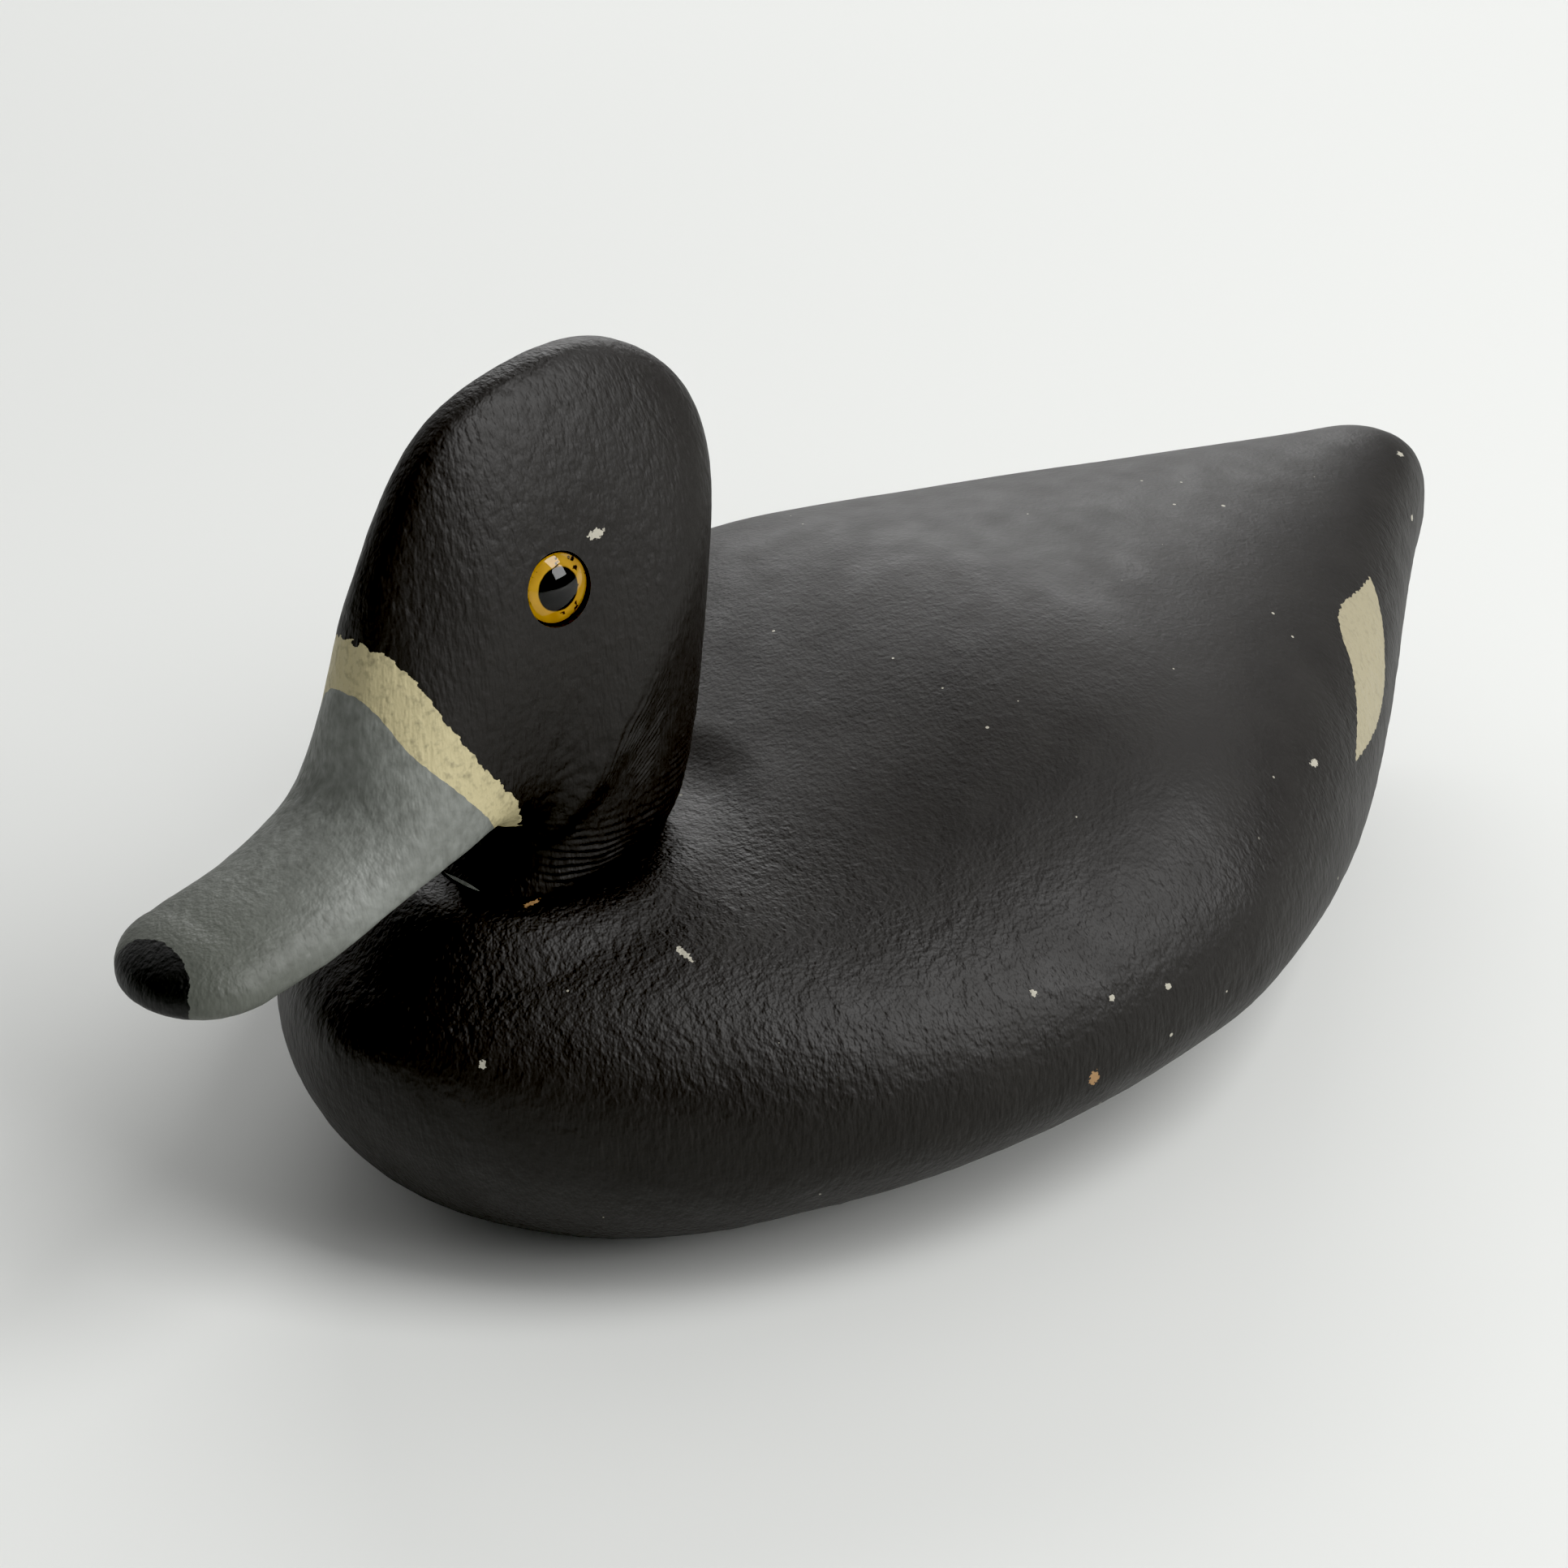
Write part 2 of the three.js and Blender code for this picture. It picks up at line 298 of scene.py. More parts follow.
def grown(name, tree, start_mesh, **values):
    """Runs a geometry tree on a mesh and keeps the result as a plain mesh object."""
    start = bpy.data.objects.new(name + "_start", start_mesh)
    scene.collection.objects.link(start)
    modifier = start.modifiers.new(name, "NODES")
    modifier.node_group = tree
    for socket in tree.interface.items_tree:
        key = socket.name.replace(" ", "_")
        if socket.in_out == "INPUT" and key in values:
            modifier[socket.identifier] = values[key]
    graph = bpy.context.evaluated_depsgraph_get()
    mesh = bpy.data.meshes.new_from_object(start.evaluated_get(graph))
    mesh.name = name
    start.modifiers.clear()
    bpy.data.objects.remove(start)
    piece = bpy.data.objects.new(name, mesh)
    scene.collection.objects.link(piece)
    return piece


def body_lines(back, sizes):
    """Half breadth, top line and bottom line of the body at a distance back from the breast."""
    length = sizes["body_length"]
    planed = sizes["planed_off"]
    behind = length - back

    def rounded_off(stretch):
        return (1 - clamp01(1 - behind / stretch) ** 2).math("MAXIMUM", 0) ** 0.5

    fore = clamp01(back / WIDEST_AT)
    aft = clamp01((back - WIDEST_AT) / (length - WIDEST_AT))
    breast_spread = (1 - (1 - fore) ** 2).math("MAXIMUM", 0) ** (1 / BREAST_FULLNESS)
    tail_spread = (1 - aft ** TAIL_TAPER).math("MAXIMUM", 0) ** (1 / TAIL_FULLNESS)
    half = breast_spread * mix(TAIL_HALF_WIDTH, sizes["half_breadth"], tail_spread)
    half = half * rounded_off(TAIL_ROUND_IN_PLAN)

    over_breast = (1 - (1 - clamp01(back / SHELF_AT)) ** 2).math("MAXIMUM", 0) ** 0.5
    shelf_to_back = fade(back, SHELF_AT, BACK_AT)
    back_to_rump = clamp01((back - BACK_AT) / (length - BACK_AT)) ** BACK_FALL
    top = mix(BREAST_HEIGHT, SHELF_HEIGHT, over_breast)
    top = top + (sizes["back_height"] - SHELF_HEIGHT) * shelf_to_back
    top = top + (RUMP_HEIGHT - sizes["back_height"]) * back_to_rump

    under_breast = 1 - (1 - (1 - clamp01(back / CHIN_CURVE)) ** 2).math("MAXIMUM", 0) ** 0.5
    under_tail = clamp01((back - FLAT_ENDS_AT) / (length - FLAT_ENDS_AT)) ** TAIL_RISE
    bottom = mix(-planed, BREAST_HEIGHT, under_breast) + (planed + TAIL_LIFT) * under_tail

    deep = rounded_off(TAIL_ROUND_IN_PROFILE)
    return half, mix(TAIL_TIP_HEIGHT, top, deep), mix(TAIL_TIP_HEIGHT, bottom, deep)


def body_form(tree, along, around, sizes):
    """Where a point of the grid lies on the carved block, in millimetres."""
    crowded_at_ends = (1 - (along * math.pi).math("COSINE")) / 2
    back = sizes["body_length"] * mix(along, crowded_at_ends, 0.55)
    half, top, bottom = body_lines(back, sizes)
    angle = around * (2 * math.pi)
    rise = angle.math("SINE")
    above = rise.math("GREATER_THAN", 0)
    power = choose(above, 2 / BACK_CROWN, 2 / BILGE_ROUND)
    widest_z = (top + bottom) / 2
    x = half * signed_power(angle.math("COSINE"), power)
    y = back + BREAST_Y
    z = mix(widest_z, choose(above, top, bottom), size(rise) ** power)
    away = ((x / SEAT_HALF_WIDTH) ** 2 + ((y - SEAT_MIDDLE_Y) / SEAT_HALF_LENGTH) ** 2) ** 0.5
    levelled = fade(away, SEAT_FADES_AT, SEAT_FLAT_TO) * above
    z = mix(z, SEAT_Z - JOINT_GAP, levelled)
    return x, y, z.math("MAXIMUM", 0)


def body_relief(tree, x, y, z, sizes):
    """How far the tools and the thick paint stand proud of the plain form, in millimetres."""
    seed = sizes["seed"]
    strokes = noise(tree, (x / 2.6, y / 2.6, z / 3.6), seed, 1.5)
    tool_marks = noise(tree, (x / 17, y / 26, z / 17), seed + 1, 1.0)
    front_and_sides = 1 - fade(z, 50, 64) * fade(y, -70, -45) * 0.6
    return (strokes * 0.16 * front_and_sides + tool_marks * 0.22) * sizes["relief"]


def body_tree(material):
    tree = bpy.data.node_groups.new("carved_body", "GeometryNodeTree")
    sizes = tree_inputs(
        tree, body_length=float(BODY_LENGTH), half_breadth=float(HALF_BREADTH),
        back_height=float(BACK_HEIGHT), planed_off=float(PLANED_OFF), relief=1.0,
        stations=BODY_STATIONS, sides=BODY_SIDES, seed=0.0,
    )
    grid = add_node(
        tree, "GeometryNodeMeshGrid",
        {"Size X": 1, "Size Y": 1, "Vertices X": sizes["stations"], "Vertices Y": sizes["sides"]},
    )
    across, up, _ = xyz(tree, tree.nodes.new("GeometryNodeInputPosition").outputs[0])
    x, y, z = body_form(tree, across + 0.5, up + 0.5, sizes)
    formed = add_node(
        tree, "GeometryNodeSetPosition",
        {"Geometry": grid.outputs[0], "Position": point(tree, x * MM, y * MM, z * MM)},
    )
    closed = add_node(
        tree, "GeometryNodeMergeByDistance", {"Geometry": formed.outputs[0], "Distance": WELD}
    )
    x, y, z = [c / MM for c in xyz(tree, tree.nodes.new("GeometryNodeInputPosition").outputs[0])]
    nx, ny, nz = xyz(tree, tree.nodes.new("GeometryNodeInputNormal").outputs[0])
    relief = body_relief(tree, x, y, z, sizes)
    carved = point(
        tree, (x + nx * relief) * MM, (y + ny * relief) * MM,
        (z + nz * relief).math("MAXIMUM", 0) * MM,
    )
    worked = add_node(
        tree, "GeometryNodeSetPosition", {"Geometry": closed.outputs[0], "Position": carved}
    )
    finish_tree(tree, worked.outputs[0], material)
    return tree


def srgb(red, green, blue):
    """A colour as the eye reads it, 0 to 255, in the linear values that a shader takes."""
    return tuple((((c / 255) + 0.055) / 1.055) ** 2.4 for c in (red, green, blue)) + (1,)


def paint_over(tree, under, over, share):
    """One coat over another, opaque where share is 1."""
    node = add_node(tree, "ShaderNodeMix", data_type="RGBA")
    node.clamp_factor = True
    for place, value in ((0, share), (6, under), (7, over)):
        feed(tree, value, node.inputs[place])
    return node.outputs[2]


def new_paint(name):
    """A material with its tree, its shader and the coordinates of the wood in millimetres."""
    material = bpy.data.materials.new(name)
    material.use_nodes = True
    tree = material.node_tree
    place = add_node(tree, "ShaderNodeTexCoord").outputs["Object"]
    return material, tree, tree.nodes["Principled BSDF"], [c / MM for c in xyz(tree, place)]


FLECK_SEED_STEPS = (3.7, 1.9, 5.3)


def flecks(tree, place, seed, share, biggest):
    """1 inside small round flecks, one in some of the cells of a unit grid of cells."""
    moved = [c + seed * step for c, step in zip(place, FLECK_SEED_STEPS)]
    node = add_node(
        tree, "ShaderNodeTexVoronoi", {"Vector": point(tree, *moved), "Scale": 1.0}
    )
    chance, chosen_size, _ = xyz(tree, node.outputs["Color"])
    chosen = chance.math("LESS_THAN", share)
    radius = mix(0.35, 1, chosen_size) * biggest
    return (radius - Rule(tree, node.outputs["Distance"])).math("GREATER_THAN", 0) * chosen


def chip(place, centre, half, ragged):
    """1 inside one ragged spot at a place on the wood."""
    away = sum(((c - middle) / h) ** 2 for c, middle, h in zip(place, centre, half)) ** 0.5
    return (away + ragged).math("LESS_THAN", 1)


WING_PATCH_FRONT = 48
WING_PATCH_REAR = 95.5
WING_PATCH_FLOOR = 45
WING_PATCH_ROOF = 63
WING_PATCH_UPPER = ((48, 48.6), (54, 50.9), (64.2, 55.8), (71.8, 60.7), (77.5, 61), (86, 59.8), (95.5, 58.6))
WING_PATCH_LOWER = ((48, 48.6), (54, 47.5), (67.2, 46), (77.2, 47.1), (84, 50.3), (93, 55.7), (95.5, 58.4))
BODY_PAINT = srgb(22, 19, 16)
WORN_PAINT = srgb(44, 42, 39)
CREAM_PAINT = srgb(190, 180, 142)
WING_CREAM = srgb(163, 155, 129)
WING_CREAM_WORN = srgb(142, 135, 112)
BARE_WOOD = srgb(158, 124, 84)
CHIP_WHITE = srgb(176, 172, 158)
CHIP_RAGGED = 1.1
BARE_CHIPS = (((79.4, -41.6, 31), (1, 1, 1.2)), ((12.5, -100.6, 61.8), (0.5, 1.6, 0.5)))
PALE_CHIPS = (
    ((22.7, -121, 46), (0.6, 0.5, 0.8)),
    ((81.2, -25.4, 41.7), (0.7, 0.7, 0.5)),
    ((78.1, -36.3, 43.1), (0.5, 0.6, 0.5)),
    ((71.5, -48.1, 46.6), (0.7, 0.5, 0.5)),
    ((68.6, 31, 55.8), (0.6, 2, 0.6)),
    ((34.6, -89.2, 56.8), (2.4, 0.5, 0.8)),
    ((9, 145, 61), (0.5, 1.6, 0.8)),
    ((18, 137, 52), (0.6, 1.4, 0.6)),
)


def edge_line(tree, along, points, low, high):
    """A drawn edge: the height, worked out from the distance along the flank."""
    start, end = points[0][0], points[-1][0]
    node = add_node(tree, "ShaderNodeFloatCurve", {"Value": clamp01((along - start) / (end - start))})
    curve = node.mapping.curves[0]
    shares = [((a - start) / (end - start), (b - low) / (high - low)) for a, b in points]
    for share in shares[1:-1]:
        curve.points.new(*share)
    curve.points[0].location = shares[0]
    curve.points[-1].location = shares[-1]
    node.mapping.update()
    return Rule(tree, node.outputs[0]) * (high - low) + low


def body_paint():
    material, tree, shader, place = new_paint("brown_black_paint")
    x, y, z = place
    fine = noise(tree, (x / 0.9, y / 0.9, z / 0.9), 3, 2)
    stipple = noise(tree, (x / 1.7, y / 1.7, z / 2.1), 4, 2)
    strokes = noise(tree, (x / 0.7, y / 0.7, z / 3.4), 5, 1)
    clouds = noise(tree, (x / 24, y / 36, z / 20), 6, 3)
    scuffs = noise(tree, (x / 7, y / 8, z / 7), 7, 4)
    on_back = fade(z, 50, 64) * fade(y, -70, -45)
    rings = (((x + 14) ** 2 + (z + 40 + y * 0.05) ** 2) ** 0.5 + noise(tree, (x / 30, y / 60, z / 30), 8) * 3)
    grain = (rings * (2 * math.pi / 3.1)).math("SINE") * on_back

    # Lighter worn paint in random clouds and scuffs, and more of it over the whole back: real wear, plus a painted
    # sheen on the top.
    worn = clamp01(clouds * 0.9 + scuffs * 0.6 + on_back * 0.25)
    colour = paint_over(tree, BODY_PAINT, WORN_PAINT, worn * 0.55 + grain * 0.03)

    ragged = noise(tree, (x / 1.4, y / 1.4, z / 1.4), 9, 3) * 0.8
    upper = edge_line(tree, y, WING_PATCH_UPPER, WING_PATCH_FLOOR, WING_PATCH_ROOF)
    lower = edge_line(tree, y, WING_PATCH_LOWER, WING_PATCH_FLOOR, WING_PATCH_ROOF)
    in_patch = (
        (z + ragged - lower).math("GREATER_THAN", 0)
        * (upper - z - ragged).math("GREATER_THAN", 0)
        * (y - WING_PATCH_FRONT).math("GREATER_THAN", 0)
        * (WING_PATCH_REAR - y).math("GREATER_THAN", 0)
    )
    cream = paint_over(tree, WING_CREAM, WING_CREAM_WORN, clamp01(fine * 1.2 + stipple * 0.8))
    colour = paint_over(tree, colour, cream, in_patch)
    specks = flecks(tree, (x / 8, y / 8, z / 8), 11, 0.3, 0.055)
    specks = specks.math("MAXIMUM", flecks(tree, (x / 6, y / 6, z / 6), 12, 0.35, 0.06) * on_back)
    colour = paint_over(tree, colour, CHIP_WHITE, specks)
    crumbled = noise(tree, (x / 0.45, y / 0.45, z / 0.45), 13, 2)
    for spots, shows in ((BARE_CHIPS, BARE_WOOD), (PALE_CHIPS, CHIP_WHITE)):
        for centre, half in spots:
            colour = paint_over(tree, colour, shows, chip(place, centre, half, crumbled * CHIP_RAGGED))
    shader.inputs["Base Color"].default_value = BODY_PAINT
    feed(tree, colour, shader.inputs["Base Color"])
    feed(tree, mix(0.5, 0.62, clamp01(scuffs + 0.3)), shader.inputs["Roughness"])
    shader.inputs["Specular IOR Level"].default_value = 0.5

    sides = 1 - on_back * 0.65
    height = (stipple * 0.15 + strokes * 0.1) * sides + fine * 0.03 + grain * 0.01 + in_patch * 0.08
    bump = add_node(tree, "ShaderNodeBump", {"Height": height, "Distance": MM, "Strength": 1.0})
    feed(tree, bump.outputs[0], shader.inputs["Normal"])
    return material


body = grown("carved_body", body_tree(body_paint()), bpy.data.meshes.new("nothing"))
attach(body, "root")
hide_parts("body")

# The head
# Carved from its own block, with the bill and the neck, and fixed on the shelf. It is painted as
# the body, with a cream band behind the bill, a blue-grey bill with painted light towards its rear, and a black nail.
HEAD_RIBS = {
    "bill tip": ((-166.5, 69), (-166.5, 69), 0, 0.4),
    "nail": ((-154, 66), (-154.5, 76.5), 14.2, 0.38),
    "middle of the bill": ((-141.5, 68), (-139.5, 80.5), 14.2, 0.3),
    "rear of the bill": ((-127.5, 72.5), (-128.5, 87), 14.7, 0.22),
    "bill base": ((-114.5, 75.5), (-125, 100), 15.2, 0.18),
    "forehead": ((-105.5, 75.5), (-118.5, 120.5), 14.8, 0.23),
    "brow": ((-102, 73), (-103, 140.5), 15.2, 0.31),
    "crown": ((-100, 70.5), (-74.5, 145), 16.5, 0.36),
    "back of the crown": ((-99.5, 68.5), (-55.5, 132.5), 19, 0.45),
    "nape": ((-100, 66.5), (-54, 107.5), 17.6, 0.45),
    "neck": ((-101.5, 64.5), (-59, 75), 16.7, 0.44),
    "seat": ((-104.5, SEAT_Z), (-63.5, SEAT_Z), SEAT_HALF_WIDTH, 0.4),
}
STEPS_AFTER_RIB = (16, 16, 18, 24, 30, 34, 30, 44, 66, 30)
TIP_STEPS = 16
HEAD_SIDES = 190
ROUND_SECTION = 2.2
BROW_SQUARENESS = 0.6
JAW_SQUARENESS = 0.8
CHEEK_TAPER = 0.47
TAPER_POWER = 1.3
TIP_DROP_POWER = 1.5
TIP_THICKNESS_POWER = 0.9


def head_ribs():
    """The ribs as rows of numbers, with the squareness of each section."""
    rows = []
    for index, (bottom, top, half, widest) in enumerate(HEAD_RIBS.values()):
        swell = max(math.sin(math.pi * index / (len(HEAD_RIBS) - 1)), 0)
        rows.append([
            *bottom, *top, half, widest,
            ROUND_SECTION + BROW_SQUARENESS * swell,
            ROUND_SECTION + JAW_SQUARENESS * swell,
            CHEEK_TAPER * swell ** TAPER_POWER,
        ])
    return np.array(rows, float)


def tip_row(tip, nail, share):
    """A rib of the quarter round that ends the bill."""
    across = math.sin(share * math.pi / 2)
    ahead = math.cos(share * math.pi / 2)
    thick = across ** TIP_THICKNESS_POWER
    bottom_y, bottom_z, top_y, top_z, half, widest = nail[:6]
    nail_middle = mix(bottom_z, top_z, widest)
    middle = mix(nail_middle, tip[1], ahead ** TIP_DROP_POWER)
    return np.array([
        mix(bottom_y, tip[0], ahead), middle + (bottom_z - nail_middle) * thick,
        mix(top_y, tip[2], ahead), middle + (top_z - nail_middle) * thick,
        half * across, widest, *nail[6:],
    ])


def between(before, start, end, after, share):
    """A smooth curve through four neighbouring ribs, between the middle two."""
    slope_in = (end - before) / 2
    slope_out = (after - start) / 2
    rise = end - start
    square = 3 * rise - 2 * slope_in - slope_out
    cube = slope_in + slope_out - 2 * rise
    return start + slope_in * share + square * share ** 2 + cube * share ** 3


def head_rows():
    ribs = head_ribs()
    rows = [tip_row(ribs[0], ribs[1], step / TIP_STEPS) for step in range(1, TIP_STEPS)]
    for index, steps in enumerate(STEPS_AFTER_RIB, start=1):
        before = ribs[index - 1] if index > 1 else 2 * ribs[1] - ribs[2]
        last = index + 2 >= len(ribs)
        after = 2 * ribs[index + 1] - ribs[index] if last else ribs[index + 2]
        for step in range(steps):
            rows.append(between(before, ribs[index], ribs[index + 1], after, step / steps))
    rows.append(ribs[-1])
    return rows


def head_ring(row):
    """The points round one rib, in millimetres."""
    bottom_y, bottom_z, top_y, top_z, half, widest, brow, jaw, taper = row
    angles = np.arange(HEAD_SIDES) / HEAD_SIDES * 2 * math.pi
    above = np.sin(angles) >= 0
    power = 2 / np.where(above, brow, jaw)
    reach = np.abs(np.sin(angles)) ** power
    share = widest + (above - widest) * reach
    drawn_in = np.where(above, 1 - taper * reach ** 2, 1)
    x = half * np.sign(np.cos(angles)) * np.abs(np.cos(angles)) ** power * drawn_in
    return np.stack([
        x, bottom_y + (top_y - bottom_y) * share, bottom_z + (top_z - bottom_z) * share
    ], axis=1)


def lofted(name, rings, first_point, last_point):
    """A closed mesh through a row of rings, with a point at each end, in millimetres."""
    count, sides = len(rings), len(rings[0])
    points = np.concatenate([[first_point], *rings, [last_point]]) * MM
    last = len(points) - 1
    faces = []
    for side in range(sides):
        beside = (side + 1) % sides
        faces.append((0, 1 + side, 1 + beside))
        end = 1 + (count - 1) * sides
        faces.append((last, end + beside, end + side))
        for ring in range(count - 1):
            near, far = 1 + ring * sides, 1 + (ring + 1) * sides
            faces.append((near + side, far + side, far + beside, near + beside))
    mesh = bpy.data.meshes.new(name)
    mesh.from_pydata([tuple(p) for p in points], [], faces)
    return mesh


EYE_PLACE = (14.3, -94, 114.3)
EYE_TURNED_FORWARD = math.radians(6)
EYE_TURNED_UP = math.radians(3)
EYE_RADIUS = 5.5
EYE_DEPTH = 3
EYE_RIM_BELOW_CHEEK = 0.4
EYE_DOME = 2.4
SOCKET_DEPTH = 6


def eye_turn(side):
    """The turn and place of an eye, from a shape whose open side faces +Z."""
    axis = Vector((
        side * math.cos(EYE_TURNED_FORWARD) * math.cos(EYE_TURNED_UP),
        -math.sin(EYE_TURNED_FORWARD) * math.cos(EYE_TURNED_UP),
        math.sin(EYE_TURNED_UP),
    ))
    turn = Vector((0, 0, 1)).rotation_difference(axis)
    return Vector((side * EYE_PLACE[0], EYE_PLACE[1], EYE_PLACE[2])) * MM, turn


def socket_bore(tree, side):
    """A round cutter for one eye socket, a little wider than the glass."""
    place, turn = eye_turn(side)
    long = 4 * SOCKET_DEPTH
    middle = turn @ Vector((0, 0, long / 2 - EYE_DEPTH - JOINT_GAP)) * MM
    bore = add_node(
        tree, "GeometryNodeMeshCylinder",
        {"Vertices": 72, "Radius": (EYE_RADIUS + JOINT_GAP) * MM, "Depth": long * MM},
    )
    return add_node(
        tree, "GeometryNodeTransform",
        {"Geometry": bore.outputs[0], "Translation": place + middle, "Rotation": turn.to_euler()},
    ).outputs[0]


RASP_PITCH = 1.25


def head_tree(material):
    tree = bpy.data.node_groups.new("carved_head", "GeometryNodeTree")
    tree.interface.new_socket("Carved form", in_out="INPUT", socket_type="NodeSocketGeometry")
    sizes = tree_inputs(tree, relief=1.0, seed=20.0)
    form = tree.nodes.new("NodeGroupInput").outputs[0]
    x, y, z = [c / MM for c in xyz(tree, tree.nodes.new("GeometryNodeInputPosition").outputs[0])]
    nx, ny, nz = xyz(tree, tree.nodes.new("GeometryNodeInputNormal").outputs[0])
    seed = sizes["seed"]
    strokes = noise(tree, (x / 2.4, y / 2.4, z / 3.4), seed, 1.5)
    tool_marks = noise(tree, (x / 13, y / 13, z / 15), seed + 1, 1.0)
    rasped = fade(z, 98, 86) * fade(z, 62, 66) * fade(y, -104, -92)
    wander = noise(tree, (x / 9, y / 14, z / 9), seed + 2, 2)
    rasp = ((z + (y + 80) * 0.12 + wander * 1.6) * (2 * math.pi / RASP_PITCH)).math("SINE")
    broken = clamp01(noise(tree, (x / 4, y / 7, z / 4), seed + 3, 1) + 0.75)
    relief = (strokes * 0.11 + tool_marks * 0.16 + rasp * rasped * broken * 0.16) * sizes["relief"]
    carved = point(tree, (x + nx * relief) * MM, (y + ny * relief) * MM, (z + nz * relief) * MM)
    worked = add_node(tree, "GeometryNodeSetPosition", {"Geometry": form, "Position": carved})
    bored = add_node(
        tree, "GeometryNodeMeshBoolean", {"Mesh 1": worked.outputs[0]}, operation="DIFFERENCE"
    )
    for side in (1, -1):
        tree.links.new(socket_bore(tree, side), bored.inputs["Mesh 2"])
    finish_tree(tree, bored.outputs[0], material)
    return tree


BAND_FRONT = ((-124.1, 103), (-123.1, 100.4), (-121.7, 96.1), (-119.5, 92.8), (-116.5, 89.2), (-110.5, 81.7), (-106, 75))
BAND_REAR = ((-122, 110.5), (-120.7, 109.5), (-118.4, 105.5), (-115.6, 99.1), (-110.7, 90.8), (-104.1, 81.7), (-101, 75))
BAND_FLOOR = 70
BAND_ROOF = 115
NAIL_MIDDLE = (0, -167.5)
NAIL_HALF = (10.5, 7.2)
# The bill's paint, with painted light that makes it lighter towards its rear, and its nail.
BILL_REAR_PAINT_WITH_PAINTED_LIGHT = srgb(134, 137, 132)
BILL_TIP_PAINT = srgb(94, 97, 90)
BILL_SHADE = srgb(78, 80, 74)
BILL_PAINTED_LIGHT_FROM = -158
BILL_PAINTED_LIGHT_FULL_AT = -128
NAIL_BLACK = srgb(24, 24, 23)
CHEEK_CHIP = (13.8, -85.6, 120.5)
CHEEK_CHIP_HALF = (1.5, 1.5, 0.7)


def head_paint():
    material, tree, shader, place = new_paint("head_paint")
    x, y, z = place
    fine = noise(tree, (x / 0.9, y / 0.9, z / 0.9), 33, 2)
    stipple = noise(tree, (x / 1.5, y / 1.5, z / 1.9), 34, 2)
    strokes = noise(tree, (x / 0.7, y / 0.7, z / 4), 35, 1)
    clouds = noise(tree, (x / 18, y / 18, z / 22), 36, 3)
    worn = clamp01(clouds * 0.8 + stipple * 0.4 + 0.1)
    colour = paint_over(tree, BODY_PAINT, WORN_PAINT, worn * 0.5)

    ragged = noise(tree, (x / 1.6, y / 1.6, z / 1.6), 37, 4)
    front = edge_line(tree, y, BAND_FRONT, BAND_FLOOR, BAND_ROOF)
    rear = edge_line(tree, y, BAND_REAR, BAND_FLOOR, BAND_ROOF)
    behind_front = (z + ragged * 0.5 - front).math("GREATER_THAN", 0) * (y + 124.4).math("GREATER_THAN", 0)
    ahead_of_rear = (rear - z - ragged * 2.2).math("GREATER_THAN", 0)
    in_band = behind_front * ahead_of_rear * (y + 100.5).math("LESS_THAN", 0)
    on_bill = (1 - behind_front) * (y + 104).math("LESS_THAN", 0)
    # The bill's colour gets lighter from the nail back towards the band. This is painted light, standing in for the
    # light that falls on the rear of the bill.
    bill = paint_over(tree, BILL_TIP_PAINT, BILL_REAR_PAINT_WITH_PAINTED_LIGHT, fade(y, BILL_PAINTED_LIGHT_FROM, BILL_PAINTED_LIGHT_FULL_AT))
    bill = paint_over(tree, bill, BILL_SHADE, clamp01(stipple * 0.6 + clouds * 0.5 + 0.3))
    colour = paint_over(tree, colour, bill, on_bill)
    cream = paint_over(tree, CREAM_PAINT, srgb(150, 142, 112), clamp01(fine * 1.5 + stipple * 1.2))
    colour = paint_over(tree, colour, cream, in_band)
    from_nail = (((x - NAIL_MIDDLE[0]) / NAIL_HALF[0]) ** 2 + ((y - NAIL_MIDDLE[1]) / NAIL_HALF[1]) ** 2) ** 0.5
    on_nail = (from_nail + ragged * 0.12).math("LESS_THAN", 1)
    nail = paint_over(tree, NAIL_BLACK, BILL_SHADE, fade(fine + stipple * 0.7, 0.45, 0.7) * fade(from_nail, 0.8, 0.5))
    colour = paint_over(tree, colour, nail, on_nail)
    crumbled = noise(tree, (x / 0.45, y / 0.45, z / 0.45), 38, 2)
    scuffed = chip(place, CHEEK_CHIP, CHEEK_CHIP_HALF, crumbled * CHIP_RAGGED)
    colour = paint_over(tree, colour, CHIP_WHITE, scuffed)
    feed(tree, colour, shader.inputs["Base Color"])
    feed(tree, mix(0.48, 0.6, clamp01(stipple + 0.5)), shader.inputs["Roughness"])
    height = stipple * 0.12 + strokes * 0.09 + fine * 0.03 + (in_band + on_bill) * 0.06
    bump = add_node(tree, "ShaderNodeBump", {"Height": height, "Distance": MM, "Strength": 1.0})
    feed(tree, bump.outputs[0], shader.inputs["Normal"])
    return material


tip_point = (0, *HEAD_RIBS["bill tip"][0])
seat_point = (0, SEAT_MIDDLE_Y, SEAT_Z)
head_form = lofted("head_form", [head_ring(row) for row in head_rows()], tip_point, seat_point)
head = grown("carved_head", head_tree(head_paint()), head_form)
head.data.set_sharp_from_angle(angle=math.radians(60))
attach(head, "root")
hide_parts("head")

# The eyes
# Each is a button of clear glass with amber enamel and a black pupil fired on its back, set in
# a bored socket. The lens and the enamel behind it are made as one stack.
LENS_BACK = -1.3
ENAMEL_RADIUS = 5.4
ENAMEL_LAP = 0.05
PUPIL_RADIUS = 3.0
EYE_SIDES = 96
DOME_STEPS = 20
RIM_SLOPE = 2 * math.atan(EYE_DOME / EYE_RADIUS)


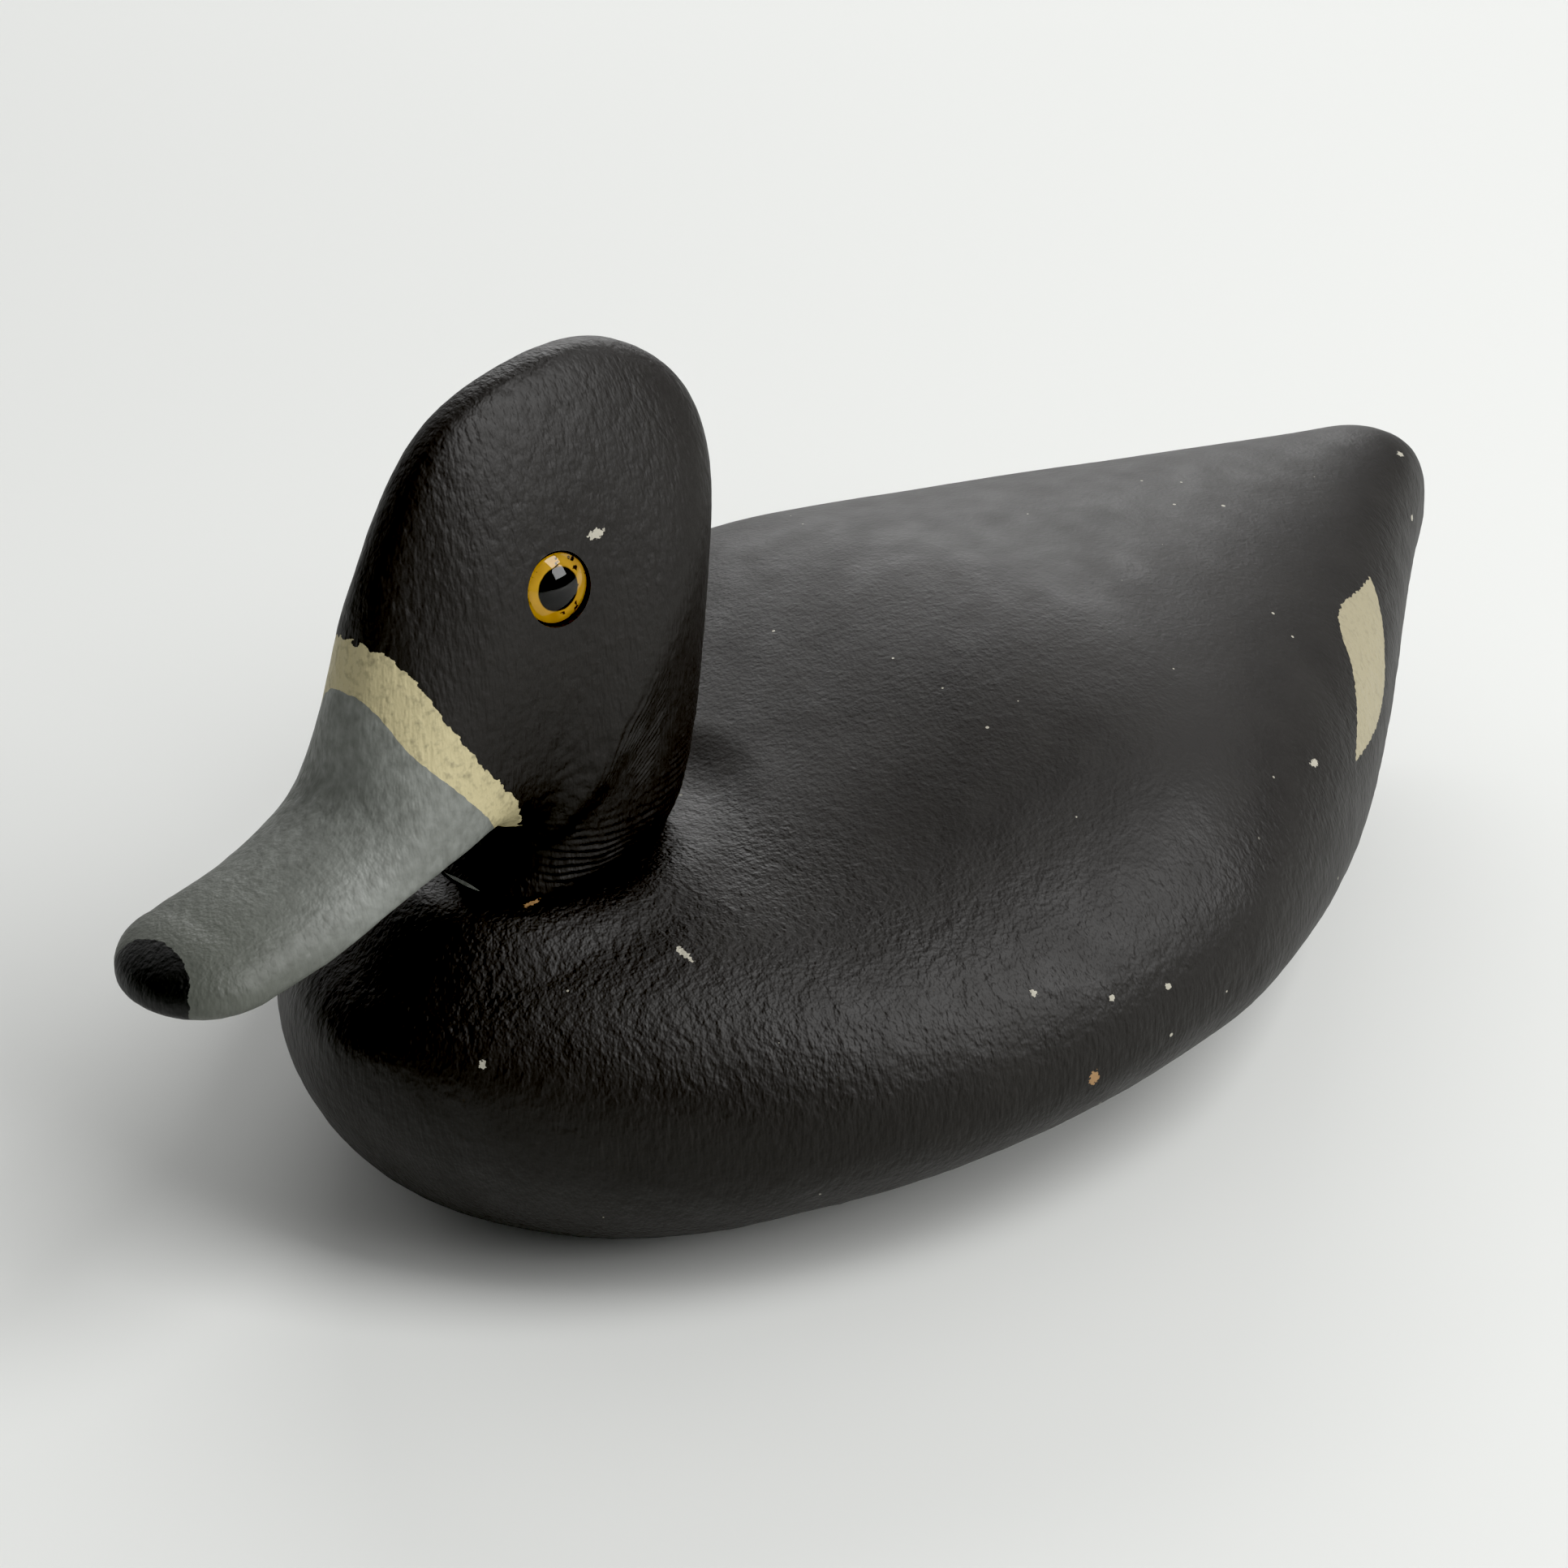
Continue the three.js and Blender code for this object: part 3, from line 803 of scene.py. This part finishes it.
def turned(name, profile, sides, side):
    """A round piece from its outline, radius and height, placed at an eye, with a flat map."""
    place, turn = eye_turn(side)
    mesh = bpy.data.meshes.new(name)
    shape = bmesh.new()
    rows = []
    for radius, height in profile:
        if radius == 0:
            rows.append([shape.verts.new((0, 0, height * MM))])
        else:
            rows.append([
                shape.verts.new((
                    radius * math.cos(step / sides * 2 * math.pi) * MM,
                    radius * math.sin(step / sides * 2 * math.pi) * MM,
                    height * MM,
                )) for step in range(sides)
            ])
    for low, high in zip(rows, rows[1:]):
        for step in range(sides):
            beside = (step + 1) % sides
            corners = [low[step % len(low)], low[beside % len(low)], high[beside % len(high)], high[step % len(high)]]
            shape.faces.new(list(dict.fromkeys(corners)))
    flat = shape.loops.layers.uv.new("face_on")
    for face in shape.faces:
        face.smooth = True
        for loop in face.loops:
            loop[flat].uv = (loop.vert.co.x / MM / EYE_RADIUS, loop.vert.co.y / MM / EYE_RADIUS)
    shape.transform(Matrix.Translation(place) @ turn.to_matrix().to_4x4())
    shape.to_mesh(mesh)
    shape.free()
    mesh.set_sharp_from_angle(angle=math.radians(40))
    piece = bpy.data.objects.new(name, mesh)
    scene.collection.objects.link(piece)
    return piece


def clear_glass():
    material = bpy.data.materials.new("clear_glass")
    material.use_nodes = True
    shader = material.node_tree.nodes["Principled BSDF"]
    shader.inputs["Base Color"].default_value = (1, 1, 1, 1)
    shader.inputs["Roughness"].default_value = 0.03
    shader.inputs["IOR"].default_value = 1.5
    shader.inputs["Transmission Weight"].default_value = 1
    return material


def enamel():
    material = bpy.data.materials.new("amber_enamel")
    material.use_nodes = True
    tree = material.node_tree
    shader = tree.nodes["Principled BSDF"]
    u, v, _ = xyz(tree, add_node(tree, "ShaderNodeUVMap", uv_map="face_on").outputs[0])
    away = (u ** 2 + v ** 2) ** 0.5
    blots = noise(tree, (u * 4, v * 4, 0), 50, 3)
    smears = noise(tree, (u * 2, v * 2, 0), 51, 1)
    amber = paint_over(tree, srgb(236, 188, 66), srgb(208, 156, 48), clamp01(smears + 0.4))
    dark = srgb(28, 14, 8)
    speckled = fade(blots, 0.18, 0.24)
    colour = paint_over(tree, amber, dark, speckled)
    colour = paint_over(tree, colour, dark, fade(away + blots * 0.02, 0.9, 0.93))
    colour = paint_over(tree, colour, srgb(8, 7, 6), fade(away + blots * 0.03, PUPIL_RADIUS / EYE_RADIUS + 0.02, PUPIL_RADIUS / EYE_RADIUS - 0.02))
    feed(tree, colour, shader.inputs["Base Color"])
    shader.inputs["Roughness"].default_value = 0.6
    shader.inputs["Specular IOR Level"].default_value = 0
    return material


glass = clear_glass()
amber_enamel = enamel()
for side, hand in ((1, "left"), (-1, "right")):
    dome = [
        (EYE_RADIUS * math.sin(slope) / math.sin(RIM_SLOPE),
         (math.cos(slope) - math.cos(RIM_SLOPE)) / (1 - math.cos(RIM_SLOPE)) * EYE_DOME - EYE_RIM_BELOW_CHEEK)
        for slope in (RIM_SLOPE * (1 - step / DOME_STEPS) for step in range(DOME_STEPS + 1))
    ]
    lens = turned(f"eye_glass_{hand}", [(0, LENS_BACK), (EYE_RADIUS, LENS_BACK), *dome], EYE_SIDES, side)
    lens.data.materials.append(glass)
    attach(lens, "root")
    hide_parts(f"eye_{hand}")
    rings = [(ENAMEL_RADIUS * step / 12, LENS_BACK + ENAMEL_LAP) for step in range(12, 0, -1)]
    rings.append((0, LENS_BACK + ENAMEL_LAP))
    disc = turned(f"eye_iris_{hand}", [(0, -EYE_DEPTH), (ENAMEL_RADIUS, -EYE_DEPTH), *rings], EYE_SIDES, side)
    disc.data.materials.append(amber_enamel)
    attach(disc, "root")
